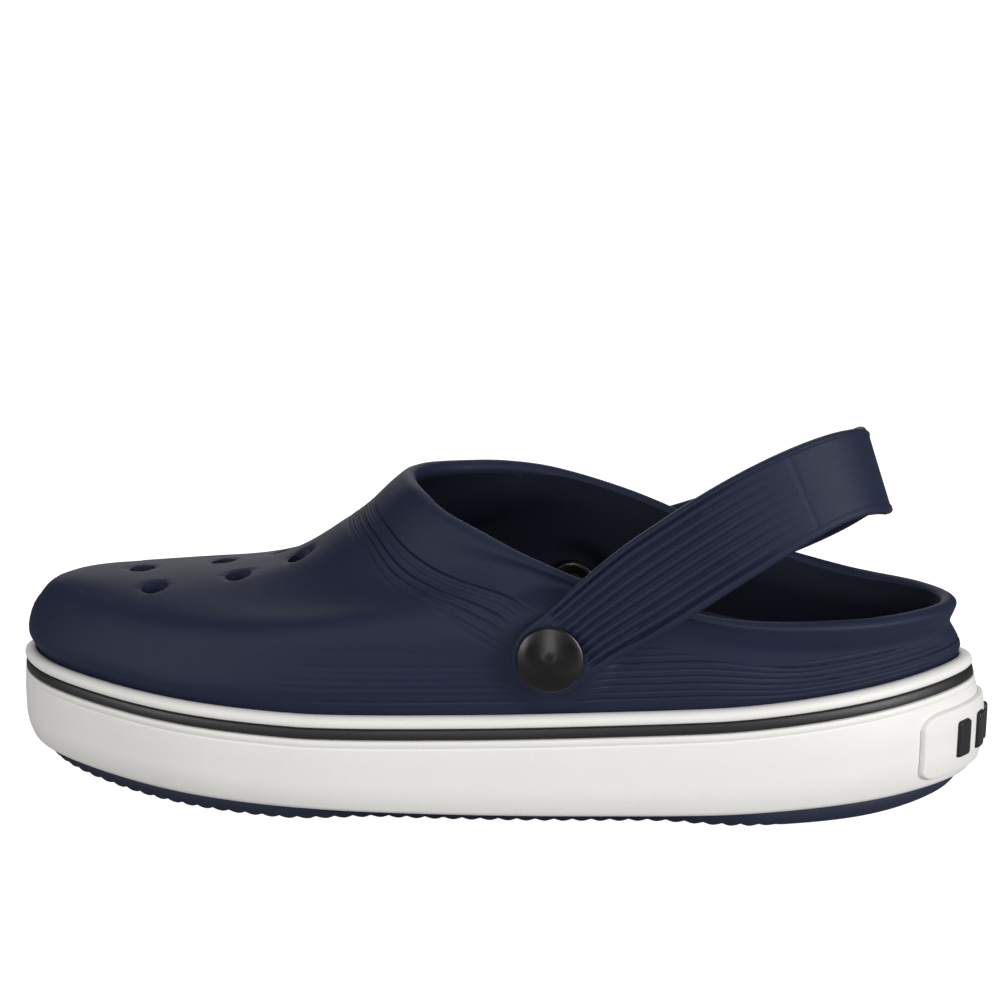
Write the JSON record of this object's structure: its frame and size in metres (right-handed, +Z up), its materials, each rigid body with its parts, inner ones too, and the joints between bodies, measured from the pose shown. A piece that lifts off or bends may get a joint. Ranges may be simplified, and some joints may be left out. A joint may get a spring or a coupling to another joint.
{
  "type": "garden clog",
  "caption": "Left-foot moulded foam garden clog with a vented upper, white midsole, treaded outsole and a heel strap that swings on side rivets.",
  "frame": {"origin": "centre of the bounding box's base, on the ground under the middle of the shoe", "axes": "+X along the shoe towards the toe, +Y towards the outer side of the foot, +Z up"},
  "size_m": [0.2966, 0.1058, 0.1174],
  "materials": {
    "navy_foam": "matte, fine moulded grain",
    "white_foam": "matte, warm white",
    "black_rubber": "satin",
    "navy_tread": "matte",
    "black_plastic": "satin black"
  },
  "bodies": {
    "shoe": {"upper": "navy_foam", "midsole": "white_foam", "pinstripe": "black_rubber", "outsole": "navy_tread", "footbed": "navy_foam", "heel_badge": "white_foam", "badge_bar_1": "black_rubber", "badge_bar_2": "black_rubber", "badge_bar_3": "black_rubber", "badge_bar_4": "black_rubber", "badge_bar_5": "black_rubber", "rivet_outer": "black_plastic", "rivet_back_outer": "black_plastic", "rivet_inner": "black_plastic", "rivet_back_inner": "black_plastic"},
    "strap": {"heel_strap": "navy_foam"}
  },
  "joints": [
    {"name": "strap_pivot", "type": "hinge", "parent": "shoe", "child": "strap", "pos_m": [-0.021, 0, 0.054], "axis": [0, 1, 0], "range_deg": [-7, 128]}
  ]
}
